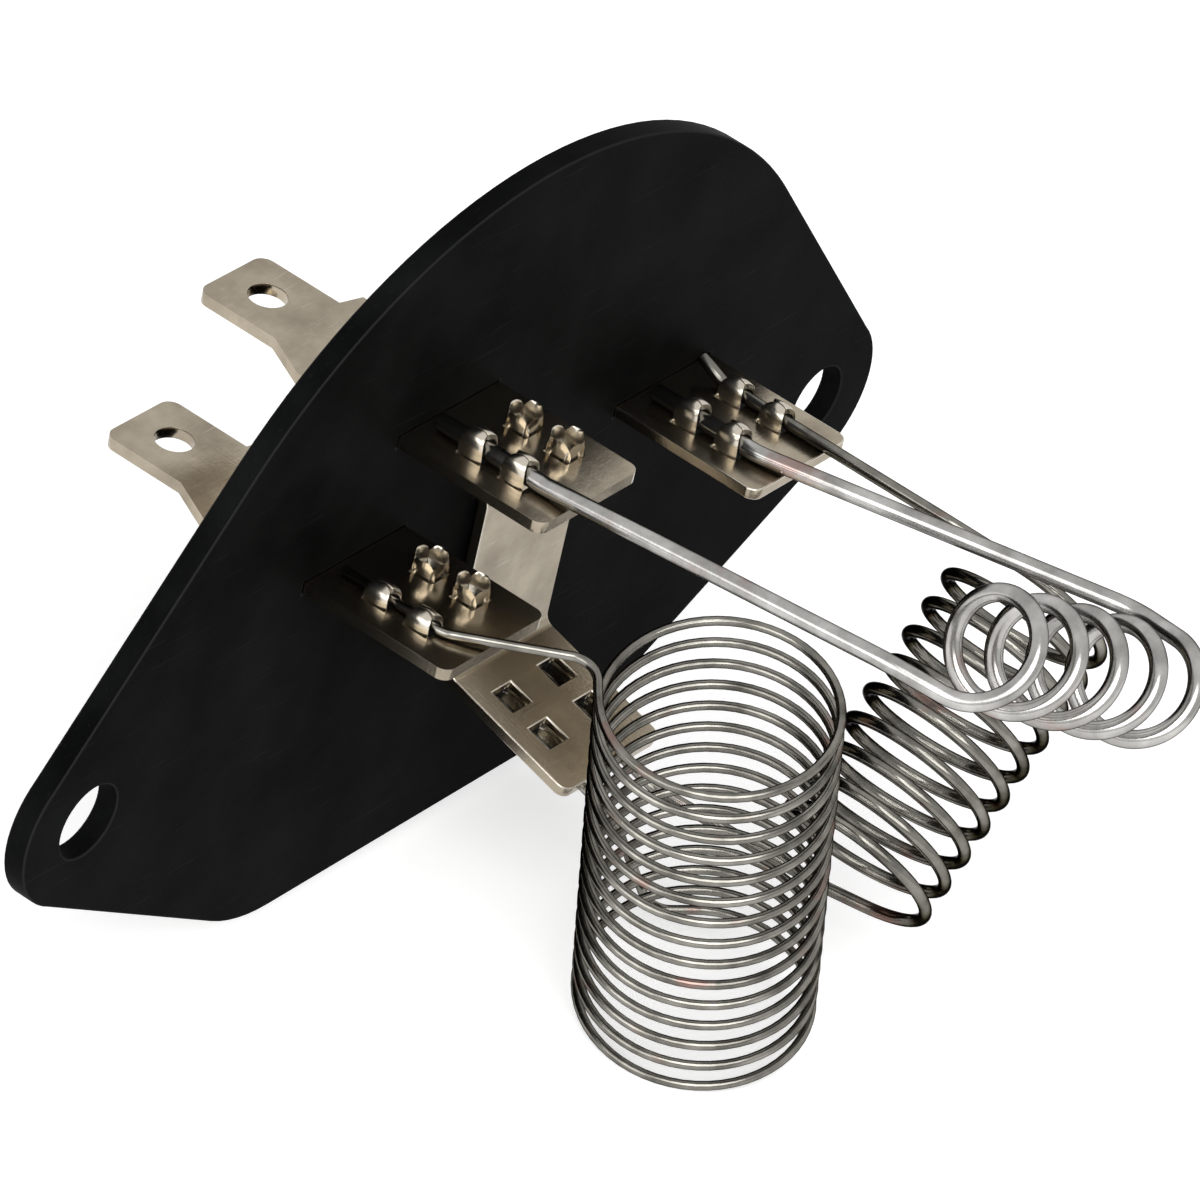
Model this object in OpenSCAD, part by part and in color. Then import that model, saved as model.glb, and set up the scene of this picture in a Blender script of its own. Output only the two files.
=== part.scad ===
// Blower motor resistor: three resistance coils in series between four blade terminals
// on an insulating plate.
// Frame: millimetres, X along the line of the screw holes, Z up towards the round edge of the plate,
// coils towards -Y, blades towards +Y. Origin midway between the screw holes on the front face of the plate.

/* [Plate] */
// Thickness of the insulating plate
plate_thick = 1.6; // [1.2:0.1:3]
// Distance between the two screw holes
hole_spacing = 73; // [66:0.5:80]
// Screw hole diameter
hole_dia = 5.2; // [4:0.1:6]
// Radius of the ears round the screw holes
ear_radius = 5.9; // [5:0.1:7.5]
// Radius of the round upper edge
crown_radius = 34.7; // [32:0.1:38]
// Centre of the round edge below the hole line
crown_drop = 1.5; // [0:0.1:3]
// Straight lower edge below the hole line
bottom_drop = 16.4; // [15:0.1:20]
// Half length of the straight lower edge
bottom_half = 17.8; // [14:0.1:20]
// Radius of the two lower corners
bottom_round = 5; // [2:0.5:7]
// Play of a strip in its slot, each side
slot_play = 0.08; // [0.05:0.01:0.2]

/* [Terminals] */
// Strip thickness
strip_thick = 0.8; // [0.6:0.05:1]
// Strip width
strip_width = 9.8; // [9:0.1:11]
// Reach of the lug plates in front of the plate
strip_reach = 11.3; // [10.5:0.1:14]
// Reach of the wide strip behind the plate face
strip_back = 11.5; // [10:0.1:14]
// Radius of the two outer corners of a lug plate
strip_round = 0.8; // [0.4:0.1:2]
// Blade width
blade_width = 6.35; // [5.8:0.05:6.6]
// Blade length from its shoulder
blade_length = 6.3; // [5.5:0.1:8]
// Radius of the blade tip corners
blade_round = 0.9; // [0.3:0.1:1.4]
// Diameter of the lock hole in the blade
blade_hole = 2.6; // [1.6:0.1:3]
// Lock hole centre from the blade tip
blade_hole_in = 3.1; // [2.6:0.1:4]
// Long taper of the shoulder on the left
shoulder_left = 3.3; // [0.5:0.1:4]
// Short taper of the shoulder on the right
shoulder_right = 0.5; // [0.2:0.1:4]
// Low strip: place along the hole line
low_x = -13.8; // [-14.5:0.1:-13]
// Motor strip: place along the hole line
motor_x = -6.9; // [-7.5:0.1:-6]
// Medium low strip: place along the hole line
medium_low_x = 2.95; // [2:0.05:4]
// Medium high strip: place along the hole line
medium_high_x = 17.1; // [16.5:0.1:18]
// Height of the top face of the row of three strips
row_z = 10; // [9:0.1:11]
// Height of the top face of the motor strip
motor_z = 18; // [17:0.1:19]
// Room between the plate and the flat web of the bent strip
web_room = 0.4; // [0.2:0.05:0.8]
// Level at which the web turns outwards
web_low = -3.4; // [-5:0.1:-2]
// Inner radius of the outward bend
web_bend = 0.8; // [0.4:0.1:1.5]
// Droop of the lower lug plate
lower_droop = 16; // [8:1:22]
// Flat length of the lower lug plate
lower_length = 10; // [9:0.1:12]

/* [Lugs] */
// Width of the square hole left by a pierced lug
lug_hole = 1.9; // [1.7:0.1:2.2]
// Thickness of a lug petal
petal_thick = 0.45; // [0.3:0.05:0.6]
// Height of an open petal
petal_height = 1.2; // [1:0.1:2]
// Outward lean of an open petal
petal_lean = 14; // [0:1:30]
// Distance of each lug row from the middle of the strip
row_offset = 2.3; // [2.1:0.05:2.5]
// Outer lug from the end of the lug plate
lug_end = 4; // [3.5:0.1:4.5]
// Distance between the two lugs of a row
lug_step = 3.3; // [3:0.1:3.5]
// Play between a wire and what holds it
wire_play = 0.04; // [0.02:0.01:0.08]

/* [Thin coil] */
// Wire diameter
thin_wire = 0.62; // [0.5:0.01:0.7]
// Mean radius of the turns
thin_radius = 7.4; // [7:0.05:7.5]
// Distance from turn to turn
thin_pitch = 2; // [1.8:0.05:2.05]
// Number of turns
thin_turns = 14.75; // [12.75:1:14.75]
// Axis along the hole line at the first turn
thin_x = -8.47; // [-9.5:0.01:-7.5]
// Axis in front of the plate at the first turn
thin_out = 24.3; // [22:0.1:25]
// Height of the first turn
thin_z = 11.38; // [10.5:0.01:12]
// Lean of the axis from straight down
thin_lean = 15.7; // [10:0.1:18]
// Tilt of the axis towards the plate
thin_tilt = 2.6; // [0:0.1:4]
// Turn of the first point round the axis
thin_start = 229.6; // [220:0.1:240]

/* [Medium coil] */
// Wire diameter
medium_wire = 0.84; // [0.7:0.01:0.95]
// Mean radius of the turns
medium_radius = 5.38; // [5:0.01:5.5]
// Distance from turn to turn
medium_pitch = 2.233; // [2.1:0.001:2.3]
// Number of turns
medium_turns = 9.5; // [7.5:1:9.5]
// Axis along the hole line at the first turn
medium_x = 23.87; // [23.4:0.01:24.4]
// Axis in front of the plate
medium_out = 25.99; // [25.5:0.01:27]
// Height of the first turn
medium_z = 5.21; // [4.8:0.01:5.5]
// Lean of the axis from straight down
medium_lean = -52.4; // [-54:0.1:-50]
// Tilt of the axis towards the plate
medium_tilt = -3.4; // [-4:0.1:0]
// Turn of the first point round the axis
medium_start = 178; // [172:0.5:184]

/* [Thick coil] */
// Wire diameter
thick_wire = 1.2; // [1:0.01:1.3]
// Mean radius of the turns
thick_radius = 3.45; // [3.2:0.05:3.6]
// Distance from turn to turn
thick_pitch = 6.16; // [5.5:0.02:6.4]
// Number of turns
thick_turns = 4.5; // [3.5:1:4.5]
// Axis along the hole line at the first turn
thick_x = -6; // [-7:0.01:-5]
// Axis in front of the plate
thick_out = 38.7; // [37:0.1:44]
// Height of the first turn
thick_z = 23.07; // [22.5:0.01:24]
// Lean of the axis from straight down
thick_lean = 59.3; // [55:0.1:63]

/* [Leads] */
// Free end of each wire from the plate
wire_tail = 0.9; // [0.6:0.1:1.4]
// Rise of the bent-up free end of the medium wire
tail_rise = 1; // [0.5:0.1:1.4]
// Thin wire: bend radius
thin_bend = 1.9; // [1.5:0.1:2]
// Thin wire: straight run on each side of the coil
thin_run = 2.6; // [2.4:0.1:3]
// Thin wire: bend back from the end of the strip
thin_bend_back = 2.4; // [2:0.1:3]
// Medium wire: bend radius
medium_bend = 2.4; // [2:0.1:2.6]
// Medium wire: straight run into the coil
medium_run_in = 1; // [0.8:0.1:1.4]
// Medium wire: length of its step across to the coil
medium_step = 5; // [4.5:0.1:6]
// Medium wire: straight run out of the coil
medium_run_out = 3; // [2:0.1:4]
// Thick wire: bend radius
thick_bend = 6; // [4:0.5:7]
// Thick wire: straight run on each side of the coil
thick_run = 4; // [3.5:0.1:5]
// Thick wire: bend back from the end of the strip
thick_bend_back = 2; // [1.5:0.1:2.5]

/* [Hidden] */
$fn = 64;
sink = 0.15;
overshoot = 1;
// Straight edges of the plate run this far inside the tangents, so that each arc crosses them cleanly
kiss = 0.02;
bend_steps = 10;
// Fineness of the wires: sides of the section, points in a turn, degrees in a bend
wire_sides = 8;
turn_steps = 20;
bend_step = 15;

ear = [hole_spacing / 2, 0];
crown = [0, -crown_drop];
corner = [bottom_half, bottom_round - bottom_drop];
upper_angle = tangent_angle(crown, crown_radius, ear, ear_radius, 1);
lower_angle = tangent_angle(corner, bottom_round, ear, ear_radius, -1);
blade_tip = strip_back + blade_length;
lug_near = strip_reach - lug_end;
lug_far = lug_near - lug_step;

function on_circle(c, r, a) = c + r * [cos(a), sin(a)];
function tangent_angle(c, rc, e, re, side) =
    atan2(e[1] - c[1], e[0] - c[0]) + side * acos((rc - re) / norm(e - c));
function unit(v) = v / norm(v);

module placed(o, x, y, z) {
    multmatrix([
        [x[0], y[0], z[0], o[0]],
        [x[1], y[1], z[1], o[1]],
        [x[2], y[2], z[2], o[2]],
        [0, 0, 0, 1]])
        children();
}

// Plate outline in the X-Z plane: round crown, tangent sides, ears, slanted lower sides
module plate_outline() {
    right = [
        [bottom_half, kiss - bottom_drop],
        on_circle(corner, bottom_round - kiss, lower_angle),
        on_circle(ear, ear_radius - kiss, lower_angle),
        ear,
        on_circle(ear, ear_radius - kiss, upper_angle),
        on_circle(crown, crown_radius - kiss, upper_angle)];
    polygon(concat(right, [for (i = [len(right) - 1:-1:0]) [-right[i][0], right[i][1]]]));
    for (s = [-1, 1]) {
        translate([s * ear[0], ear[1]]) circle(r = ear_radius);
        translate([s * corner[0], corner[1]]) circle(r = bottom_round);
    }
    intersection() {
        translate(crown) circle(r = crown_radius);
        translate([-crown_radius, 0]) square(2 * crown_radius);
    }
}

module slot(x, top) {
    translate([x - strip_width / 2 - slot_play, -overshoot, top - strip_thick - slot_play])
        cube([strip_width + 2 * slot_play, plate_thick + 2 * overshoot, strip_thick + 2 * slot_play]);
}

module base_plate() {
    color("#1c1d1e")
    difference() {
        rotate([90, 0, 0]) translate([0, 0, -plate_thick]) linear_extrude(plate_thick) plate_outline();
        for (s = [-1, 1])
            translate([s * hole_spacing / 2, plate_thick + overshoot, 0])
                rotate([90, 0, 0]) cylinder(d = hole_dia, h = plate_thick + 2 * overshoot);
        slot(low_x, row_z);
        slot(motor_x, motor_z);
        slot(medium_low_x, row_z);
        slot(medium_high_x, row_z);
    }
}

// Wide strip and blade behind the plate, seen from above, up to the given reach in front
module strip_back_outline(front) {
    w = strip_width / 2;
    b = blade_width / 2;
    r = blade_round;
    polygon([
        [-w, -front], [w, -front], [w, strip_back - shoulder_right], [b, strip_back],
        [b, blade_tip - r], [b - r, blade_tip], [-b + r, blade_tip], [-b, blade_tip - r],
        [-b, strip_back], [-w, strip_back - shoulder_left]]);
    for (s = [-1, 1]) translate([s * (b - r), blade_tip - r]) circle(r = r);
}

// Lug plate in front of the plate, rounded at its outer end
module lug_plate_outline(from, reach) {
    w = strip_width / 2;
    r = strip_round;
    polygon([[-w, -from], [-w, r - reach], [r - w, -reach], [w - r, -reach], [w, r - reach], [w, -from]]);
    for (s = [-1, 1]) translate([s * (w - r), r - reach]) circle(r = r);
}

module lug_holes(near, far) {
    for (x = [-row_offset, row_offset])
        for (y = [near, far])
            translate([x, -y, 0]) square(lug_hole, center = true);
}

// Open lug: four petals standing round the hole
module open_lug() {
    for (a = [0:90:270])
        rotate(a)
            translate([lug_hole / 2, 0, -sink])
                rotate([0, petal_lean, 0])
                    rotate([90, 0, 90])
                        linear_extrude(petal_thick)
                            polygon([[-lug_hole / 2, -sink], [lug_hole / 2, -sink], [lug_hole / 2, sink],
                                [0.14, petal_height + sink], [-0.14, petal_height + sink],
                                [-lug_hole / 2, sink]]);
}

// Closed lug: two petals folded over a wire that runs along Y
module closed_lug(wire) {
    w = lug_hole / 2;
    t = petal_thick;
    inside = wire + 2 * wire_play;
    half = wire * 0.36;
    waist = lug_hole * 0.26;
    intersection() {
        rotate([90, 0, 0])
            translate([0, 0, -lug_hole])
                linear_extrude(2 * lug_hole)
                    for (s = [0, 1])
                        mirror([s, 0])
                            polygon([[w, -sink], [w, 0.12], [half, inside], [0.06, inside],
                                [0.06, inside + t], [half + t * 0.4, inside + t],
                                [w + t, 0.3], [w + t, -sink]]);
        translate([0, 0, -2 * sink])
            linear_extrude(inside + 2 * t + 1)
                polygon([[-w - 1, -w], [-w, -w], [0, -waist], [w, -w], [w + 1, -w],
                    [w + 1, w], [w, w], [0, waist], [-w, w], [-w - 1, w]]);
    }
}

// Two lugs of one row; wire 0 leaves them open
module lug_row(x, wire, near, far) {
    for (y = [near, far])
        translate([x, -y, 0])
            if (wire > 0) closed_lug(wire);
            else open_lug();
}

module straight_terminal(x, top, left_wire, right_wire) {
    translate([x, 0, top]) {
        difference() {
            translate([0, 0, -strip_thick])
                linear_extrude(strip_thick)
                    difference() {
                        union() {
                            strip_back_outline(overshoot);
                            lug_plate_outline(0, strip_reach);
                        }
                        lug_holes(lug_near, lug_far);
                    }
            translate([0, blade_tip - blade_hole_in, -2 * strip_thick])
                cylinder(d = blade_hole, h = 3 * strip_thick);
        }
        lug_row(-row_offset, left_wire, lug_near, lug_far);
        lug_row(row_offset, right_wire, lug_near, lug_far);
    }
}

module terminal_low() {
    color("#b9b1a0") straight_terminal(low_x, row_z, thin_wire, 0);
}

module terminal_motor() {
    color("#b9b1a0") straight_terminal(motor_x, motor_z, thick_wire, 0);
}

module terminal_medium_high() {
    color("#b9b1a0") straight_terminal(medium_high_x, row_z, thick_wire, medium_wire);
}

// Bent strip: through the plate, down its face as a web, then outwards as a drooping lug plate
out_dir = [0, -cos(lower_droop), -sin(lower_droop)];
under_dir = [0, sin(lower_droop), -cos(lower_droop)];
top_bend = [0, row_z - strip_thick - web_room];
low_bend = [-web_room - strip_thick - web_bend, web_low];
lower_start = [medium_low_x, low_bend[0], low_bend[1]] + (web_bend + strip_thick) * under_dir;
lower_near = lower_length - lug_end;
lower_far = lower_near - lug_step;

function bend_points(c, r, from, to) =
    [for (i = [0:bend_steps]) on_circle(c, r, from + (to - from) * i / bend_steps)];
function flat_end(r) = low_bend + r * [under_dir[1], under_dir[2]] + lower_length * [out_dir[1], out_dir[2]];

// Side view of the bent strip: Y to the right, Z up
module bent_side() {
    droop = lower_droop - 90;
    polygon(concat(
        [[blade_tip, row_z]],
        bend_points(top_bend, web_room + strip_thick, 90, 180),
        bend_points(low_bend, web_bend, 0, droop),
        [flat_end(web_bend), flat_end(web_bend + strip_thick)],
        bend_points(low_bend, web_bend + strip_thick, droop, 0),
        bend_points(top_bend, web_room, 180, 90),
        [[blade_tip, row_z - strip_thick]]));
}

module lower_frame() {
    placed(lower_start, [-1, 0, 0], -out_dir, under_dir) children();
}

module terminal_medium_low() {
    w = strip_width / 2;
    color("#b9b1a0") {
        difference() {
            translate([medium_low_x - w, 0, 0])
                rotate([90, 0, 90]) linear_extrude(strip_width) bent_side();
            translate([medium_low_x, 0, row_z - 2 * strip_thick])
                linear_extrude(3 * strip_thick)
                    difference() {
                        translate([-w - overshoot, plate_thick])
                            square([strip_width + 2 * overshoot, blade_tip]);
                        strip_back_outline(0);
                    }
            translate([medium_low_x, blade_tip - blade_hole_in, row_z - 2 * strip_thick])
                cylinder(d = blade_hole, h = 3 * strip_thick);
            lower_frame()
                translate([0, 0, -2 * strip_thick])
                    linear_extrude(3 * strip_thick) {
                        lug_holes(lower_near, lower_far);
                        difference() {
                            translate([-w - overshoot, -lower_length - overshoot])
                                square([strip_width + 2 * overshoot, strip_round + overshoot]);
                            lug_plate_outline(0, lower_length);
                        }
                    }
        }
        lower_frame() {
            lug_row(row_offset, thin_wire, lower_near, lower_far);
            lug_row(-row_offset, medium_wire, lower_near, lower_far);
        }
    }
}

// Corner of a bent wire: points on an arc of the given radius that touches both straight runs
function corner_points(before, at, after, r) =
    let (
        u = unit(before - at),
        v = unit(after - at),
        turn = acos(-u * v),
        centre = at + unit(u + v) * r / cos(turn / 2),
        from = unit(at + u * r * tan(turn / 2) - centre),
        steps = max(2, ceil(turn / bend_step)))
    [for (i = [0:steps]) centre + r * (cos(turn * i / steps) * from - sin(turn * i / steps) * u)];

function bent_line(p, r) = concat(
    [p[0]],
    [for (i = [1:len(p) - 2]) each corner_points(p[i - 1], p[i], p[i + 1], r)],
    [p[len(p) - 1]]);

// Helix: a coil is [centre of its first turn, axis, side of its first point, mean radius, pitch]
function coil_axis(lean, tilt) = unit([sin(lean), tan(tilt), -cos(lean)]);
function coil_side(axis, turn) =
    let (u = unit(cross(axis, [0, 1, 0])), v = cross(axis, u))
    u * cos(turn) + v * sin(turn);
function radial(c, angle) = cos(angle) * c[2] + sin(angle) * cross(c[2], c[1]);
function coil_point(c, turn) = c[0] + c[1] * c[4] * turn + c[3] * radial(c, 360 * turn);
function coil_tangent(c, turn) = unit(2 * PI * c[3] * radial(c, 360 * turn + 90) + c[4] * c[1]);
function helix(c, turns) = [for (i = [0:turns * turn_steps]) coil_point(c, i / turn_steps)];

function inner(p) = [for (i = [1:len(p) - 2]) p[i]];

// Wire of round section swept along a line of points; its rings turn no more than the line makes them
function run_of(p, i) = unit(p[min(i + 1, len(p) - 1)] - p[max(i - 1, 0)]);
function carried(n, t) = unit(n - t * (n * t));
function rings(p, r) =
    let (last = len(p) - 1, start = run_of(p, 0))
    [for (i = 0, n = carried(abs(start[2]) < 0.9 ? [0, 0, 1] : [1, 0, 0], start); i <= last;
        i = i + 1, n = carried(n, run_of(p, min(i, last))))
        let (side = cross(run_of(p, i), n))
        for (k = [0:wire_sides - 1])
            p[i] + r * (cos(360 * k / wire_sides) * n + sin(360 * k / wire_sides) * side)];

module swept_wire(p, d) {
    last = len(p) - 1;
    s = wire_sides;
    even_area = sqrt(2 * PI / s / sin(360 / s));
    polyhedron(
        rings(p, even_area * d / 2),
        concat(
            [[for (k = [0:s - 1]) k]],
            [for (i = [0:last - 1]) for (k = [0:s - 1])
                [i * s + k, i * s + s + k, i * s + s + (k + 1) % s, i * s + (k + 1) % s]],
            [[for (k = [s - 1:-1:0]) last * s + k]]));
}

// Wire line in a lug row: x of the row, height of the strip face, distance in front of the plate
function row_point(x, top, wire, y) = [x, -y, top + wire / 2 + wire_play];
function lower_point(side, wire, s) =
    lower_start + [side * row_offset, 0, 0] + out_dir * s + under_dir * (wire / 2 + wire_play);

thin_axis = coil_axis(thin_lean, thin_tilt);
thin_coil = [[thin_x, -thin_out, thin_z], thin_axis, coil_side(thin_axis, thin_start),
    thin_radius, thin_pitch];
thin_row = low_x - row_offset;

module coil_thin() {
    from = coil_point(thin_coil, 0);
    to = coil_point(thin_coil, thin_turns);
    lead_in = bent_line([
        row_point(thin_row, row_z, thin_wire, wire_tail),
        row_point(thin_row, row_z, thin_wire, strip_reach - thin_bend_back),
        from - thin_run * coil_tangent(thin_coil, 0),
        from], thin_bend);
    lead_out = bent_line([
        to,
        to + thin_run * coil_tangent(thin_coil, thin_turns),
        lower_point(-1, thin_wire, lower_length + thin_run),
        lower_point(-1, thin_wire, wire_tail)], thin_bend);
    color("#8f8f90")
        swept_wire(concat(lead_in, inner(helix(thin_coil, thin_turns)), lead_out), thin_wire);
}

medium_axis = coil_axis(medium_lean, medium_tilt);
medium_coil = [[medium_x, -medium_out, medium_z], medium_axis, coil_side(medium_axis, medium_start),
    medium_radius, medium_pitch];
medium_row = medium_high_x + row_offset;

module coil_medium() {
    from = coil_point(medium_coil, 0);
    to = coil_point(medium_coil, medium_turns);
    lead_in = bent_line([
        row_point(medium_row, row_z, medium_wire, wire_tail) + [0, 0, tail_rise],
        row_point(medium_row, row_z, medium_wire, lug_far - lug_hole / 2 - wire_play),
        row_point(medium_row, row_z, medium_wire, medium_out - medium_step),
        from - medium_run_in * coil_tangent(medium_coil, 0),
        from], medium_bend);
    lead_out = bent_line([
        to,
        to + medium_run_out * coil_tangent(medium_coil, medium_turns),
        lower_point(1, medium_wire, lower_length + medium_bend),
        lower_point(1, medium_wire, wire_tail)], medium_bend);
    color("#8f8f90")
        swept_wire(concat(lead_in, inner(helix(medium_coil, medium_turns)), lead_out), medium_wire);
}

thick_axis = coil_axis(thick_lean, 0);
thick_coil = [[thick_x, -thick_out, thick_z], thick_axis, coil_side(thick_axis, 180),
    thick_radius, thick_pitch];

module coil_thick() {
    from = coil_point(thick_coil, 0);
    to = coil_point(thick_coil, thick_turns);
    lead_in = bent_line([
        row_point(motor_x - row_offset, motor_z, thick_wire, wire_tail),
        row_point(motor_x - row_offset, motor_z, thick_wire, strip_reach - thick_bend_back),
        from - thick_run * coil_tangent(thick_coil, 0),
        from], thick_bend);
    lead_out = bent_line([
        to,
        to + thick_run * coil_tangent(thick_coil, thick_turns),
        row_point(medium_high_x - row_offset, row_z, thick_wire, strip_reach - thick_bend_back),
        row_point(medium_high_x - row_offset, row_z, thick_wire, wire_tail)], thick_bend);
    color("#8f8f90")
        swept_wire(concat(lead_in, inner(helix(thick_coil, thick_turns)), lead_out), thick_wire);
}

base_plate();
terminal_low();
terminal_motor();
terminal_medium_low();
terminal_medium_high();
coil_thin();
coil_medium();
coil_thick();
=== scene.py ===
"""Looks of the blower motor resistor: black insulating plate, tinned strips and bare resistance wire."""
import math

import bmesh
import bpy
from mathutils import Matrix, Vector


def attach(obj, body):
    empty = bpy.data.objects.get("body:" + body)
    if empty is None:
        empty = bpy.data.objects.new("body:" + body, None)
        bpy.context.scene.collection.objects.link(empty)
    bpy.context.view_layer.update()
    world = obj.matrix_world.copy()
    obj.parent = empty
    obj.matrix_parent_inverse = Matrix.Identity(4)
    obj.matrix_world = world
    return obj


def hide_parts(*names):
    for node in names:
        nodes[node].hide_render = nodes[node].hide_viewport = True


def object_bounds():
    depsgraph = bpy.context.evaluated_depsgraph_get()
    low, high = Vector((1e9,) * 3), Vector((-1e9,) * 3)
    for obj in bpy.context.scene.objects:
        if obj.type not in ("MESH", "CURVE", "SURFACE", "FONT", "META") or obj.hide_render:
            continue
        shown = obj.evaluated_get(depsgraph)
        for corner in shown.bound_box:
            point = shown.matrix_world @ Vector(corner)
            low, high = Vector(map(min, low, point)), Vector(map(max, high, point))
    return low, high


MM = 0.001

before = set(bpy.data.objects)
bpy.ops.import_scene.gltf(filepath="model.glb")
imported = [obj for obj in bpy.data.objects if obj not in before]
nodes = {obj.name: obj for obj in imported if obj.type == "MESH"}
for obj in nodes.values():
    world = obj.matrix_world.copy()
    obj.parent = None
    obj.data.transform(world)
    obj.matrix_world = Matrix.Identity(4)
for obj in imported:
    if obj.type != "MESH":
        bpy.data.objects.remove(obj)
cad_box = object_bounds()

# The photograph's camera
CAMERA_AIM = Vector((4.97, -6.42, 1.96)) * MM
CAMERA_DISTANCE = 684 * MM
CAMERA_AZIMUTH = math.radians(59.07)
CAMERA_ELEVATION = math.radians(34.78)
CAMERA_ROLL = math.radians(-13.25)
CAMERA_LENS = 328.9
CAMERA_CLIP = (0.05, 20)
SENSOR = 36

# Sizes repeated from the part's source, in millimetres
STRIP_REACH = 11.3
ROW_OFFSET = 2.3
LUG_HOLE = 1.9
LUG_NEAR = 7.3
LUG_FAR = 4.0
WIRE_PLAY = 0.04
ROW_Z = 10
MOTOR_Z = 18
LOW_X = -13.8
MOTOR_X = -6.9
MEDIUM_LOW_X = 2.95
MEDIUM_HIGH_X = 17.1
THIN_WIRE = 0.62
MEDIUM_WIRE = 0.84
THICK_WIRE = 1.2
LOWER_DROOP = math.radians(16)
LOWER_LENGTH = 10
LOWER_NEAR = 6.0
LOWER_FAR = 2.7
LOWER_BEND = (-2.0, -3.4)
LOWER_BEND_RADIUS = 1.6
WIRE_TAIL = 0.9
TAIL_RISE = 1
THIN_BEND = 1.9
THIN_RUN = 2.6
THIN_BEND_BACK = 2.4
MEDIUM_OUT = 25.99
MEDIUM_BEND = 2.4
MEDIUM_RUN_IN = 1
MEDIUM_STEP = 5
MEDIUM_RUN_OUT = 3
THICK_BEND = 6
THICK_RUN = 4
THICK_BEND_BACK = 2
CORNER_HALF = 17.8
CORNER_DROP = 16.4
CORNER_ROUND = 5

# The plate's lower corners as the real one has them: rounder, and a little lower
EASED_HALF = 15.16
EASED_DROP = 16.67
EASED_ROUND = 12.1
EASED_FROM = math.radians(-90)
EASED_TO = math.radians(-61.4)
ON_ARC = 0.03

# Rounded edges, in millimetres; a wire's end is rounded by a share of its thickness
PLATE_EDGE = 0.22
STRIP_EDGE = 0.09
PETAL_EDGE = 0.17
WIRE_END_SHARE = 0.12

# Limits: angles between faces in degrees, and distances in millimetres
CORNER_FROM = 30
PETAL_CORNER_FROM = 50
WIRE_END_CORNER_FROM = 60
SHARP_FROM = 38
FLAT_WITHIN = 0.6
JOIN_WITHIN = 0.002
CUT_WITHIN = 0.003

# Lug petals, in millimetres; width and taper are shares of the hole's half width, the shoulder of the wire
PETAL_CELLS_ACROSS = 6
PETAL_CELLS_UP = 10
PETAL_SHEET = 0.4
STANDING_ROOT = -0.4
STANDING_LENGTH = 1.35
STANDING_WIDTH = 0.98
STANDING_TAPER = 0.54
STANDING_TAPER_CURVE = 1.6
STANDING_BULGE = 0.16
STANDING_INSET = 0.28
STANDING_LEAN = 0.3
STANDING_LEAN_CURVE = 1.5
FOLDED_ROOT = -0.42
FOLDED_WIDTH = 0.99
FOLDED_TAPER = 0.43
FOLDED_TAPER_CURVE = 1.5
FOLDED_BULGE = 0.14
FOLDED_INSET = 0.25
FOLDED_SWELL = 0.16
FOLDED_SHOULDER = 0.55
FOLDED_GAP = 0.05

# Smoothness of the drawn wires
BEND_STEP = math.radians(6)
FEWEST_BEND_STEPS = 3
QUARTER_TURN = 0.25

UP = Vector((0, 0, 1))
OUT = Vector((0, -math.cos(LOWER_DROOP), -math.sin(LOWER_DROOP)))
UNDER = Vector((0, math.sin(LOWER_DROOP), -math.cos(LOWER_DROOP)))
LOWER_START = Vector((MEDIUM_LOW_X, *LOWER_BEND)) + LOWER_BEND_RADIUS * UNDER

# Handling scratches: directions, stretch, and the part of the noise that shows as a line
SCRATCH_TURNS = ((0.3, 0.2, 0.5), (1.1, -0.4, 1.9))
SCRATCH_STRETCH = (1, 26, 26)
SCRATCH_FROM = 0.69
SCRATCH_TO = 0.74

# Black laminate
PLATE_BLACK = (0.0022, 0.0023, 0.0024, 1)
PLATE_GREY = (0.0075, 0.0078, 0.0077, 1)
PLATE_DUST = (0.030, 0.030, 0.031, 1)
PLATE_MARKS = {"Smudge": 120, "Grain": 2600, "Scratch": 170}
PLATE_MOTTLE = (0.35, 0.72)
PLATE_SCUFF = 0.15
PLATE_WEAR = 0.45
PLATE_ROUGHNESS = (0.44, 0.6)
PLATE_GLOSS = 0.008
PLATE_BUMP = {"Strength": 0.22, "Distance": 0.00006}

# Tin plated strip
TIN_PALE = (0.42, 0.366, 0.284, 1)
TIN_DULL = (0.26, 0.222, 0.168, 1)
TIN_BRIGHT = (0.70, 0.655, 0.57, 1)
TIN_MARKS = {"Smudge": 320, "Grain": 4200, "Scratch": 300}
TIN_MOTTLE = (0.3, 0.7)
TIN_SCRATCH = 0.2
# Share of bright tin on rubbed edges, and on the lug petals, where it is painted highlight
TIN_WEAR_AND_HIGHLIGHT = 0.6
TIN_ROUGHNESS = (0.26, 0.15)
TIN_BUMP = {"Strength": 0.12, "Distance": 0.00004}
ROLLING_STRETCH = (5200, 150, 150)
ROLLING_NOISE = {"Scale": 1.0, "Detail": 3.0}

# Resistance wire
BRIGHT_WIRE = (0.50, 0.49, 0.47, 1)
BRIGHT_WIRE_OXIDE = (0.22, 0.214, 0.203, 1)
DULL_WIRE = (0.28, 0.27, 0.242, 1)
DULL_WIRE_OXIDE = (0.09, 0.086, 0.075, 1)
# Near-black edge tint: painted shade that darkens each wire towards its edges
WIRE_EDGE_PAINTED_SHADE = (0.05, 0.05, 0.05, 1)
WIRE_MARKS = {"Smudge": 420, "Grain": 5200}
WIRE_MOTTLE = (0.28, 0.7)
WIRE_ROUGHNESS = (0.24, 0.12)
WIRE_BUMP = {"Strength": 0.06, "Distance": 0.00003}
HEAT_TINT = (0.25, 0.12, 0.10, 1)
HEAT_NOISE = {"Scale": 230.0, "Detail": 3.0}
HEAT_SHARE = 0.55
HEAT_FROM = 0.6
HEAT_TO = 0.72

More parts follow.
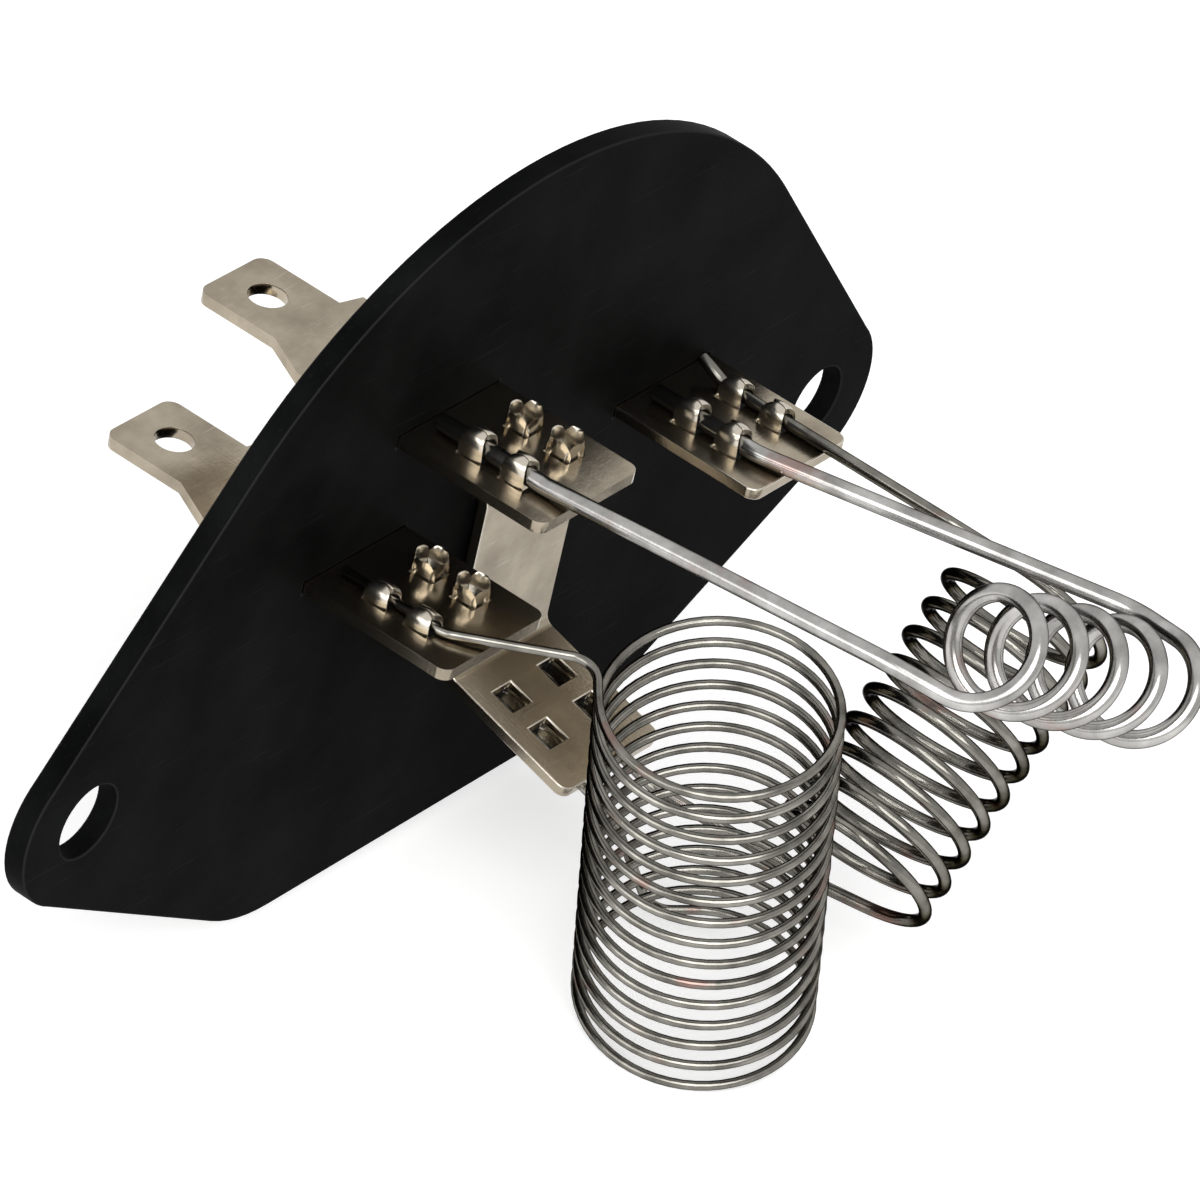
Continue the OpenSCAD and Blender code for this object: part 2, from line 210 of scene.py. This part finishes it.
# Studio
WHITE = (1, 1, 1, 1)
FLOOR_PALE = (0.82, 0.82, 0.82, 1)
FLOOR_GLOW = 0.5
FLOOR_HALF = 3.0
SKY_LIGHT = 0.4
SKY_SEEN = 1.0
LAMP_AIM = (0, -0.012, 0.0)


def moved_axes(origin, x, y, z):
    """Matrix that puts a shape's own axes along x, y and z, with its zero point at origin."""
    turn = Matrix((x, y, z)).transposed().to_4x4()
    return Matrix.Translation(origin) @ turn


def make_object(name, bm, material, replaced):
    """Finished piece from a bmesh in millimetres: scaled to metres, smooth except at real corners."""
    bmesh.ops.scale(bm, vec=(MM, MM, MM), verts=bm.verts)
    mesh = bpy.data.meshes.new(name)
    bm.to_mesh(mesh)
    bm.free()
    mesh.shade_smooth()
    mesh.set_sharp_from_angle(angle=math.radians(SHARP_FROM))
    mesh.materials.append(material)
    piece = bpy.data.objects.new(name, mesh)
    bpy.context.scene.collection.objects.link(piece)
    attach(piece, "root")
    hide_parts(replaced)
    return piece


def solid_copy(node_name):
    """Copy of a CAD node's mesh in millimetres, with its loose triangles joined at their corners."""
    bm = bmesh.new()
    bm.from_mesh(nodes[node_name].data)
    bmesh.ops.scale(bm, vec=(1 / MM, 1 / MM, 1 / MM), verts=bm.verts)
    bmesh.ops.remove_doubles(bm, verts=bm.verts, dist=JOIN_WITHIN)
    return bm


def corner_edges(bm, least):
    return [
        edge for edge in bm.edges
        if len(edge.link_faces) == 2 and edge.calc_face_angle(0) > math.radians(least)
    ]


def open_edges(bm):
    return [edge for edge in bm.edges if len(edge.link_faces) == 1]


def soften(bm, width, segments=2, least=CORNER_FROM):
    """Rounds the sharp edges and gives the new faces the full wear mark."""
    wear_and_highlight = bm.faces.layers.float.get("wear_and_highlight") or bm.faces.layers.float.new("wear_and_highlight")
    rounded = bmesh.ops.bevel(
        bm, geom=corner_edges(bm, least), offset=width, offset_type="OFFSET", affect="EDGES",
        segments=segments, profile=0.5, material=-1, clamp_overlap=True,
    )
    for face in rounded["faces"]:
        face[wear_and_highlight] = 1.0


def plain_faces(bm):
    """Joins the triangles of each flat face."""
    bmesh.ops.dissolve_limit(
        bm, angle_limit=math.radians(FLAT_WITHIN), use_dissolve_boundaries=False,
        verts=bm.verts, edges=bm.edges, delimit={"NORMAL"},
    )


def flatten_shading(piece):
    """Keeps the wide faces evenly lit right up to their rounded edges."""
    even = piece.modifiers.new("even_faces", "WEIGHTED_NORMAL")
    even.keep_sharp = True


def ease_corners(bm):
    """Opens the round of the plate's two lower corners, and takes the lower edge with them."""
    for side in (-1, 1):
        rise = CORNER_ROUND - CORNER_DROP
        corner = {}
        for vert in bm.verts:
            across, up = side * vert.co.x - CORNER_HALF, vert.co.z - rise
            if abs(math.hypot(across, up) - CORNER_ROUND) < ON_ARC:
                corner[vert] = math.atan2(up, across)
        first, last = min(corner.values()), max(corner.values())
        for vert, angle in corner.items():
            turn = EASED_FROM + (EASED_TO - EASED_FROM) * (angle - first) / (last - first)
            vert.co.x = side * (EASED_HALF + EASED_ROUND * math.cos(turn))
            vert.co.z = EASED_ROUND - EASED_DROP + EASED_ROUND * math.sin(turn)


def make_plate(material):
    bm = solid_copy("base_plate")
    ease_corners(bm)
    plain_faces(bm)
    soften(bm, PLATE_EDGE, segments=3)
    flatten_shading(make_object("plate", bm, material, "base_plate"))


def leaf(bm, shape, thickness):
    """One lug petal: a small sheet laid along shape(across, up) and given its thickness."""
    sheet = bmesh.ops.create_grid(
        bm, x_segments=PETAL_CELLS_ACROSS, y_segments=PETAL_CELLS_UP, size=1)["verts"]
    for vert in sheet:
        vert.co = shape(vert.co.x, (vert.co.y + 1) / 2)
    faces = list({face for vert in sheet for face in vert.link_faces})
    bmesh.ops.solidify(bm, geom=faces, thickness=thickness)


def open_petal(across, up):
    """Standing petal on the +X side of its hole: a corner of torn sheet that leans outwards to its tip."""
    half = LUG_HOLE / 2
    height = STANDING_ROOT + STANDING_LENGTH * up
    rise = max(height, 0)
    width = half * (STANDING_WIDTH - STANDING_TAPER * rise ** STANDING_TAPER_CURVE)
    bulge = STANDING_BULGE * (1 - across ** 2)
    lean = STANDING_LEAN * rise ** STANDING_LEAN_CURVE
    return Vector((half - STANDING_INSET + lean + bulge, across * width, height))


def folded_petal(wire):
    """Petal on the +X side, bent over a wire that runs along Y."""
    half = LUG_HOLE / 2
    side = max(wire / 2 + WIRE_PLAY, half - FOLDED_INSET)
    top = wire + 2 * WIRE_PLAY
    pull = (
        Vector((side, FOLDED_ROOT)),
        Vector((side + FOLDED_SWELL, wire)),
        Vector((wire * FOLDED_SHOULDER, top)),
        Vector((FOLDED_GAP, top)),
    )

    def shape(across, up):
        left = 1 - up
        spot = (
            left ** 3 * pull[0] + 3 * left ** 2 * up * pull[1]
            + 3 * left * up ** 2 * pull[2] + up ** 3 * pull[3]
        )
        width = half * (FOLDED_WIDTH - FOLDED_TAPER * up ** FOLDED_TAPER_CURVE)
        bulge = FOLDED_BULGE * (1 - across ** 2)
        return Vector((spot.x + bulge * left, across * width, spot.y + bulge * up))

    return shape


def make_lug(wire):
    """Pierced lug round its hole: two petals folded over a wire, or four left standing."""
    bm = bmesh.new()
    leaf(bm, folded_petal(wire) if wire else open_petal, -PETAL_SHEET)
    bmesh.ops.recalc_face_normals(bm, faces=bm.faces)
    soften(bm, PETAL_EDGE, segments=3, least=PETAL_CORNER_FROM)
    # Painted highlight: every petal face gets the full mark, so the whole lug is painted in bright tin to
    # stand in for the highlights on its petals
    wear_and_highlight = bm.faces.layers.float["wear_and_highlight"]
    for face in bm.faces:
        face[wear_and_highlight] = 1.0
    count = 2 if wire else 4
    first = bm.verts[:] + bm.edges[:] + bm.faces[:]
    for step in range(1, count):
        copy = bmesh.ops.duplicate(bm, geom=first)["geom"]
        verts = [part for part in copy if isinstance(part, bmesh.types.BMVert)]
        turn = Matrix.Rotation(math.tau * step / count, 3, "Z")
        bmesh.ops.rotate(bm, cent=(0, 0, 0), matrix=turn, verts=verts)
    mesh = bpy.data.meshes.new("lug")
    bm.to_mesh(mesh)
    bm.free()
    return mesh


def add_lugs(bm, place, wires, near, far):
    """Two rows of two lugs on a lug plate; place puts the lug plate's own frame into the part's."""
    for side, wire in zip((-1, 1), wires):
        lug = make_lug(wire)
        for reach in (near, far):
            old = set(bm.verts)
            bm.from_mesh(lug)
            fresh = [vert for vert in bm.verts if vert not in old]
            step = Matrix.Translation((side * ROW_OFFSET, -reach, 0))
            bmesh.ops.transform(bm, matrix=place @ step, verts=fresh)
        bpy.data.meshes.remove(lug)


def bare_strip(node_name, face_point, face_normal):
    """The CAD strip cut flush with the face that carries its lugs, with rounded edges."""
    bm = solid_copy(node_name)
    bmesh.ops.bisect_plane(
        bm, geom=bm.verts[:] + bm.edges[:] + bm.faces[:], dist=CUT_WITHIN,
        plane_co=face_point, plane_no=face_normal, clear_outer=True,
    )
    bmesh.ops.holes_fill(bm, edges=open_edges(bm), sides=0)
    bmesh.ops.recalc_face_normals(bm, faces=bm.faces)
    plain_faces(bm)
    soften(bm, STRIP_EDGE)
    return bm


def make_strip(name, node_name, place, wires, near, far, material):
    bm = bare_strip(node_name, place.translation, place.to_3x3().col[2])
    add_lugs(bm, place, wires, near, far)
    flatten_shading(make_object(name, bm, material, node_name))


class Coil:
    """Left-handed helix, in millimetres: centre of its first turn, direction of its axis, and its start."""

    def __init__(self, centre, lean, tilt, start, radius, pitch, turns):
        lean, tilt, start = (math.radians(angle) for angle in (lean, tilt, start))
        self.centre = Vector(centre)
        self.axis = Vector((math.sin(lean), math.tan(tilt), -math.cos(lean))).normalized()
        across = self.axis.cross(Vector((0, 1, 0))).normalized()
        self.side = across * math.cos(start) + self.axis.cross(across) * math.sin(start)
        self.radius, self.pitch, self.turns = radius, pitch, turns

    def outward(self, turn):
        angle = math.tau * turn
        return math.cos(angle) * self.side + math.sin(angle) * self.side.cross(self.axis)

    def point(self, turn):
        return self.centre + self.axis * self.pitch * turn + self.radius * self.outward(turn)

    def tangent(self, turn):
        round_way = math.tau * self.radius * self.outward(turn + QUARTER_TURN)
        return (round_way + self.pitch * self.axis).normalized()


def bent_line(points, radius):
    """Straight runs joined by round corners."""
    line = [points[0]]
    for before, at, after in zip(points, points[1:], points[2:]):
        back = (before - at).normalized()
        ahead = (after - at).normalized()
        turn = back.angle(-ahead)
        middle = at + (back + ahead).normalized() * radius / math.cos(turn / 2)
        start = (at + back * radius * math.tan(turn / 2) - middle).normalized()
        steps = max(FEWEST_BEND_STEPS, math.ceil(turn / BEND_STEP))
        for step in range(steps + 1):
            angle = turn * step / steps
            line.append(middle + radius * (math.cos(angle) * start - math.sin(angle) * back))
    return line + [points[-1]]


def directions(line):
    last = len(line) - 1
    return [(line[min(i + 1, last)] - line[max(i - 1, 0)]).normalized() for i in range(last + 1)]


def draw_along(bm, ring, line):
    """Extrudes an open ring of edges along a line that starts at the ring's centre."""
    ways = directions(line)
    for i in range(1, len(line)):
        grown = bmesh.ops.extrude_edge_only(bm, edges=ring)["geom"]
        verts = [part for part in grown if isinstance(part, bmesh.types.BMVert)]
        turn = ways[i - 1].rotation_difference(ways[i]).to_matrix()
        bmesh.ops.rotate(bm, cent=line[i - 1], matrix=turn, verts=verts)
        bmesh.ops.translate(bm, vec=line[i] - line[i - 1], verts=verts)
        edges = [part for part in grown if isinstance(part, bmesh.types.BMEdge)]
        ring = [edge for edge in edges if all(vert in verts for vert in edge.verts)]
    return ring


def draw_wire(name, node_name, coil, lead_in, lead_out, wire, material, sides, turn_steps):
    """Round wire: drawn along its first lead, spun along the helix, then drawn along its last lead."""
    bm = bmesh.new()
    first = directions(lead_in)[0]
    place = Matrix.Translation(lead_in[0]) @ first.to_track_quat("Z", "Y").to_matrix().to_4x4()
    bmesh.ops.create_circle(bm, cap_ends=False, radius=wire / 2, segments=sides, matrix=place)
    ring = draw_along(bm, bm.edges[:], lead_in)
    steps = math.ceil(coil.turns * turn_steps)
    spun = bmesh.ops.spin(
        bm, geom=ring, cent=coil.centre, axis=coil.axis, dvec=coil.axis * coil.pitch * coil.turns / steps,
        angle=-math.tau * coil.turns, steps=steps,
        use_merge=False, use_normal_flip=False, use_duplicate=False,
    )
    ring = [part for part in spun["geom_last"] if isinstance(part, bmesh.types.BMEdge)]
    draw_along(bm, ring, lead_out)
    bmesh.ops.holes_fill(bm, edges=open_edges(bm), sides=0)
    bmesh.ops.recalc_face_normals(bm, faces=bm.faces)
    soften(bm, wire * WIRE_END_SHARE, least=WIRE_END_CORNER_FROM)
    make_object(name, bm, material, node_name)


def row_point(x, top, wire, y):
    """Middle of a wire that lies on a lug plate whose upper face is at top."""
    return Vector((x, -y, top + wire / 2 + WIRE_PLAY))


def lower_point(side, wire, reach):
    """Middle of a wire that lies under the drooping lug plate."""
    return LOWER_START + Vector((side * ROW_OFFSET, 0, 0)) + OUT * reach + UNDER * (wire / 2 + WIRE_PLAY)


def make_thin_wire(material):
    coil = Coil(
        centre=(-8.47, -24.3, 11.38), lean=15.7, tilt=2.6, start=229.6,
        radius=7.4, pitch=2, turns=14.75,
    )
    row = LOW_X - ROW_OFFSET
    start, end = coil.point(0), coil.point(coil.turns)
    lead_in = bent_line([
        row_point(row, ROW_Z, THIN_WIRE, WIRE_TAIL),
        row_point(row, ROW_Z, THIN_WIRE, STRIP_REACH - THIN_BEND_BACK),
        start - THIN_RUN * coil.tangent(0),
        start,
    ], THIN_BEND)
    lead_out = bent_line([
        end,
        end + THIN_RUN * coil.tangent(coil.turns),
        lower_point(-1, THIN_WIRE, LOWER_LENGTH + THIN_RUN),
        lower_point(-1, THIN_WIRE, WIRE_TAIL),
    ], THIN_BEND)
    draw_wire(
        "thin_wire", "coil_thin", coil, lead_in, lead_out, THIN_WIRE, material,
        sides=14, turn_steps=56,
    )


def make_medium_wire(material):
    coil = Coil(
        centre=(23.87, -MEDIUM_OUT, 5.21), lean=-52.4, tilt=-3.4, start=178,
        radius=5.38, pitch=2.233, turns=9.5,
    )
    row = MEDIUM_HIGH_X + ROW_OFFSET
    start, end = coil.point(0), coil.point(coil.turns)
    lead_in = bent_line([
        row_point(row, ROW_Z, MEDIUM_WIRE, WIRE_TAIL) + TAIL_RISE * UP,
        row_point(row, ROW_Z, MEDIUM_WIRE, LUG_FAR - LUG_HOLE / 2 - WIRE_PLAY),
        row_point(row, ROW_Z, MEDIUM_WIRE, MEDIUM_OUT - MEDIUM_STEP),
        start - MEDIUM_RUN_IN * coil.tangent(0),
        start,
    ], MEDIUM_BEND)
    lead_out = bent_line([
        end,
        end + MEDIUM_RUN_OUT * coil.tangent(coil.turns),
        lower_point(1, MEDIUM_WIRE, LOWER_LENGTH + MEDIUM_BEND),
        lower_point(1, MEDIUM_WIRE, WIRE_TAIL),
    ], MEDIUM_BEND)
    draw_wire(
        "medium_wire", "coil_medium", coil, lead_in, lead_out, MEDIUM_WIRE, material,
        sides=18, turn_steps=56,
    )


def make_thick_wire(material):
    coil = Coil(
        centre=(-6, -38.7, 23.07), lean=59.3, tilt=0, start=180,
        radius=3.45, pitch=6.16, turns=4.5,
    )
    start, end = coil.point(0), coil.point(coil.turns)
    near_row, far_row = MOTOR_X - ROW_OFFSET, MEDIUM_HIGH_X - ROW_OFFSET
    lead_in = bent_line([
        row_point(near_row, MOTOR_Z, THICK_WIRE, WIRE_TAIL),
        row_point(near_row, MOTOR_Z, THICK_WIRE, STRIP_REACH - THICK_BEND_BACK),
        start - THICK_RUN * coil.tangent(0),
        start,
    ], THICK_BEND)
    lead_out = bent_line([
        end,
        end + THICK_RUN * coil.tangent(coil.turns),
        row_point(far_row, ROW_Z, THICK_WIRE, STRIP_REACH - THICK_BEND_BACK),
        row_point(far_row, ROW_Z, THICK_WIRE, WIRE_TAIL),
    ], THICK_BEND)
    draw_wire(
        "thick_wire", "coil_thick", coil, lead_in, lead_out, THICK_WIRE, material,
        sides=24, turn_steps=64,
    )


def add(tree, kind, links=None, **values):
    """A shader node with its sockets set or linked by name."""
    node = tree.nodes.new(kind)
    for name, value in values.items():
        if hasattr(node, name):
            setattr(node, name, value)
        else:
            node.inputs[name.replace("_", " ")].default_value = value
    for name, source in (links or {}).items():
        tree.links.new(source, node.inputs[name])
    return node


def new_material(name):
    material = bpy.data.materials.new(name)
    material.use_nodes = True
    tree = material.node_tree
    tree.nodes.clear()
    return material, tree


def finish_material(tree, shader):
    output = tree.nodes.new("ShaderNodeOutputMaterial")
    tree.links.new(shader.outputs[0], output.inputs["Surface"])


def noise(tree, vector, scale, detail, roughness=0.55):
    return add(
        tree, "ShaderNodeTexNoise", {"Vector": vector, "Scale": scale},
        Detail=detail, Roughness=roughness,
    ).outputs["Fac"]


def ramp(tree, factor, low, high, low_colour, high_colour):
    node = add(tree, "ShaderNodeValToRGB", {"Fac": factor})
    node.color_ramp.elements[0].position = low
    node.color_ramp.elements[0].color = low_colour
    node.color_ramp.elements[1].position = high
    node.color_ramp.elements[1].color = high_colour
    return node.outputs["Color"]


def spread(tree, factor, low, high, start=0.0, end=1.0):
    """Maps a factor between start and end to a range of plain values."""
    node = add(
        tree, "ShaderNodeMapRange", {"Value": factor},
        From_Min=start, From_Max=end, To_Min=low, To_Max=high,
    )
    return node.outputs["Result"]


def blend(tree, factor, first, second):
    """Mixes two colours, of which the first is a socket and the second a plain colour."""
    node = tree.nodes.new("ShaderNodeMix")
    node.data_type = "RGBA"
    tree.links.new(factor, node.inputs["Factor"])
    tree.links.new(first, node.inputs[6])
    node.inputs[7].default_value = second
    return node.outputs[2]


def joined(tree, operation, first, second):
    """Two values put together by a Math node."""
    return add(tree, "ShaderNodeMath", {0: first, 1: second}, operation=operation).outputs[0]


def marks_group():
    """Shared surface effect: soft smudges, fine grain and thin handling scratches on Object coordinates."""
    group = bpy.data.node_groups.new("surface_marks", "ShaderNodeTree")
    for name in ("Smudge", "Grain", "Scratch"):
        group.interface.new_socket(f"{name} Scale", in_out="INPUT", socket_type="NodeSocketFloat")
        group.interface.new_socket(name, in_out="OUTPUT", socket_type="NodeSocketFloat")
    source = group.nodes.new("NodeGroupInput")
    result = group.nodes.new("NodeGroupOutput")
    place = add(group, "ShaderNodeTexCoord").outputs["Object"]
    smudge = noise(group, place, source.outputs["Smudge Scale"], detail=5)
    grain = noise(group, place, source.outputs["Grain Scale"], detail=3)
    lines = []
    for turn in SCRATCH_TURNS:
        lean = add(group, "ShaderNodeMapping", {"Vector": place}, Rotation=turn, Scale=SCRATCH_STRETCH)
        streak = noise(
            group, lean.outputs["Vector"], source.outputs["Scratch Scale"], detail=2, roughness=0.4)
        lines.append(spread(group, streak, 0, 1, SCRATCH_FROM, SCRATCH_TO))
    scratch = joined(group, "MAXIMUM", *lines)
    for name, value in (("Smudge", smudge), ("Grain", grain), ("Scratch", scratch)):
        group.links.new(value, result.inputs[name])
    return group


def place_marks(tree, group, scales):
    """The shared marks, placed in a material with its own scales."""
    node = tree.nodes.new("ShaderNodeGroup")
    node.node_tree = group
    for name, scale in scales.items():
        node.inputs[f"{name} Scale"].default_value = scale
    return node.outputs


def wear_and_highlight_mask(tree):
    return add(tree, "ShaderNodeAttribute", attribute_name="wear_and_highlight").outputs["Fac"]


def plate_material(group):
    """Satin black moulded laminate: mottled, finely grained, a little dusty, paler on its rubbed edges."""
    material, tree = new_material("satin_black_laminate")
    marks = place_marks(tree, group, PLATE_MARKS)
    body = ramp(tree, marks["Smudge"], *PLATE_MOTTLE, PLATE_BLACK, PLATE_GREY)
    scuffed = blend(tree, spread(tree, marks["Scratch"], 0, PLATE_SCUFF), body, PLATE_DUST)
    edged = blend(tree, spread(tree, wear_and_highlight_mask(tree), 0, PLATE_WEAR), scuffed, PLATE_DUST)
    bump = add(tree, "ShaderNodeBump", {"Height": marks["Grain"]}, **PLATE_BUMP)
    shader = add(
        tree, "ShaderNodeBsdfPrincipled",
        {
            "Base Color": edged,
            "Roughness": spread(tree, marks["Smudge"], *PLATE_ROUGHNESS),
            "Normal": bump.outputs["Normal"],
        },
    )
    shader.inputs["Specular IOR Level"].default_value = PLATE_GLOSS
    finish_material(tree, shader)
    return material


def strip_material(group):
    """Tin plated strip: warm pale metal with rolling lines, smudges, bright rubbed edges, and lug petals
    painted bright all over as painted highlight.
    """
    material, tree = new_material("tinned_strip")
    marks = place_marks(tree, group, TIN_MARKS)
    place = add(tree, "ShaderNodeTexCoord").outputs["Object"]
    rolled = add(tree, "ShaderNodeMapping", {"Vector": place}, Scale=ROLLING_STRETCH)
    lines = add(tree, "ShaderNodeTexNoise", {"Vector": rolled.outputs["Vector"]}, **ROLLING_NOISE)
    body = ramp(tree, marks["Smudge"], *TIN_MOTTLE, TIN_DULL, TIN_PALE)
    scratched = blend(tree, spread(tree, marks["Scratch"], 0, TIN_SCRATCH), body, TIN_BRIGHT)
    # Rubbed edges, and the lugs' painted highlight: the mark lightens them towards bright tin
    edged = blend(tree, spread(tree, wear_and_highlight_mask(tree), 0, TIN_WEAR_AND_HIGHLIGHT), scratched, TIN_BRIGHT)
    height = joined(tree, "ADD", lines.outputs["Fac"], marks["Grain"])
    bump = add(tree, "ShaderNodeBump", {"Height": height}, **TIN_BUMP)
    shader = add(
        tree, "ShaderNodeBsdfPrincipled",
        {
            "Base Color": edged,
            "Roughness": spread(tree, marks["Smudge"], *TIN_ROUGHNESS),
            "Normal": bump.outputs["Normal"],
        },
        Metallic=1.0,
    )
    finish_material(tree, shader)
    return material


def wire_material(name, group, bare, oxidised):
    """Drawn resistance wire: grey metal with darker oxide, small reddish heat marks, and edges darkened by
    painted shade.
    """
    material, tree = new_material(name)
    marks = place_marks(tree, group, WIRE_MARKS)
    oxide = ramp(tree, marks["Smudge"], *WIRE_MOTTLE, oxidised, bare)
    place = add(tree, "ShaderNodeTexCoord").outputs["Object"]
    heat = add(tree, "ShaderNodeTexNoise", {"Vector": place}, **HEAT_NOISE).outputs["Fac"]
    colour = blend(tree, spread(tree, heat, 0, HEAT_SHARE, HEAT_FROM, HEAT_TO), oxide, HEAT_TINT)
    bump = add(tree, "ShaderNodeBump", {"Height": marks["Grain"]}, **WIRE_BUMP)
    shader = add(
        tree, "ShaderNodeBsdfPrincipled",
        {
            "Base Color": colour,
            "Roughness": spread(tree, marks["Smudge"], *WIRE_ROUGHNESS),
            "Normal": bump.outputs["Normal"],
        },
        Metallic=1.0,
    )
    # Painted shade: the near-black tint darkens each wire towards its edges
    shader.inputs["Specular Tint"].default_value = WIRE_EDGE_PAINTED_SHADE
    finish_material(tree, shader)
    return material


def seen_rays(tree):
    """1 for rays from the camera, in reflections and through glass."""
    rays = tree.nodes.new("ShaderNodeLightPath").outputs
    seen = joined(tree, "MAXIMUM", rays["Is Camera Ray"], rays["Is Glossy Ray"])
    return joined(tree, "MAXIMUM", seen, rays["Is Transmission Ray"])


def white_stage():
    """Wide pale floor under the part: shaded by the lamps, and lifted to white where it is seen."""
    material, tree = new_material("white_floor")
    cloth = add(tree, "ShaderNodeBsdfDiffuse", Color=FLOOR_PALE)
    lift = spread(tree, seen_rays(tree), 0, FLOOR_GLOW)
    glow = add(tree, "ShaderNodeEmission", {"Strength": lift}, Color=WHITE)
    both = tree.nodes.new("ShaderNodeAddShader")
    tree.links.new(cloth.outputs[0], both.inputs[0])
    tree.links.new(glow.outputs[0], both.inputs[1])
    finish_material(tree, both)
    bm = bmesh.new()
    low = Matrix.Translation((0, 0, cad_box[0][2]))
    bmesh.ops.create_grid(bm, x_segments=1, y_segments=1, size=FLOOR_HALF, matrix=low)
    mesh = bpy.data.meshes.new("floor")
    bm.to_mesh(mesh)
    bm.free()
    mesh.materials.append(material)
    floor = bpy.data.objects.new("floor", mesh)
    bpy.context.scene.collection.objects.link(floor)


def white_world():
    """Even light from all round, seen as white."""
    world = bpy.data.worlds.new("studio")
    bpy.context.scene.world = world
    world.use_nodes = True
    tree = world.node_tree
    tree.nodes.clear()
    strength = spread(tree, seen_rays(tree), SKY_LIGHT, SKY_SEEN)
    sky = add(tree, "ShaderNodeBackground", {"Strength": strength}, Color=WHITE)
    output = tree.nodes.new("ShaderNodeOutputWorld")
    tree.links.new(sky.outputs[0], output.inputs["Surface"])


def lamp(name, place, size, power):
    """Round soft lamp that points at the part; place and size are in metres."""
    data = bpy.data.lights.new(name, "AREA")
    data.shape = "DISK"
    data.size = size
    data.energy = power
    lamp_object = bpy.data.objects.new(name, data)
    spot = Vector(place)
    aim = (Vector(LAMP_AIM) - spot).to_track_quat("-Z", "Y").to_matrix().to_4x4()
    lamp_object.matrix_world = Matrix.Translation(spot) @ aim
    bpy.context.scene.collection.objects.link(lamp_object)


def photo_camera():
    flat = math.cos(CAMERA_ELEVATION)
    forward = Vector((
        flat * math.sin(CAMERA_AZIMUTH),
        flat * math.cos(CAMERA_AZIMUTH),
        -math.sin(CAMERA_ELEVATION),
    ))
    level = forward.cross(UP).normalized()
    up = level.cross(forward) * math.cos(CAMERA_ROLL) + level * math.sin(CAMERA_ROLL)
    data = bpy.data.cameras.new("photo_camera")
    data.sensor_width = SENSOR
    data.lens = CAMERA_LENS
    data.clip_start, data.clip_end = CAMERA_CLIP
    camera = bpy.data.objects.new("photo_camera", data)
    camera.matrix_world = moved_axes(
        CAMERA_AIM - CAMERA_DISTANCE * forward, forward.cross(up), up, -forward)
    bpy.context.scene.collection.objects.link(camera)
    bpy.context.scene.camera = camera


photo_camera()

surface_marks = marks_group()
make_plate(plate_material(surface_marks))

tin = strip_material(surface_marks)
upright = (Vector((1, 0, 0)), Vector((0, 1, 0)), UP)
lower = moved_axes(LOWER_START, Vector((-1, 0, 0)), -OUT, UNDER)
for name, node_name, x, top, wires in (
    ("low_strip", "terminal_low", LOW_X, ROW_Z, (THIN_WIRE, 0)),
    ("motor_strip", "terminal_motor", MOTOR_X, MOTOR_Z, (THICK_WIRE, 0)),
    ("medium_high_strip", "terminal_medium_high", MEDIUM_HIGH_X, ROW_Z, (THICK_WIRE, MEDIUM_WIRE)),
):
    make_strip(name, node_name, moved_axes(Vector((x, 0, top)), *upright), wires, LUG_NEAR, LUG_FAR, tin)
make_strip(
    "medium_low_strip", "terminal_medium_low", lower, (MEDIUM_WIRE, THIN_WIRE), LOWER_NEAR, LOWER_FAR, tin)

dull = wire_material("dull_resistance_wire", surface_marks, DULL_WIRE, DULL_WIRE_OXIDE)
make_thin_wire(dull)
make_medium_wire(dull)
make_thick_wire(wire_material("bright_resistance_wire", surface_marks, BRIGHT_WIRE, BRIGHT_WIRE_OXIDE))

white_stage()
white_world()
lamp("key", place=(-0.5, -0.5, 0.7), size=0.9, power=9)
lamp("fill", place=(-0.8, 0.1, 0.35), size=0.6, power=2.5)
bpy.context.scene.view_settings.view_transform = "Standard"
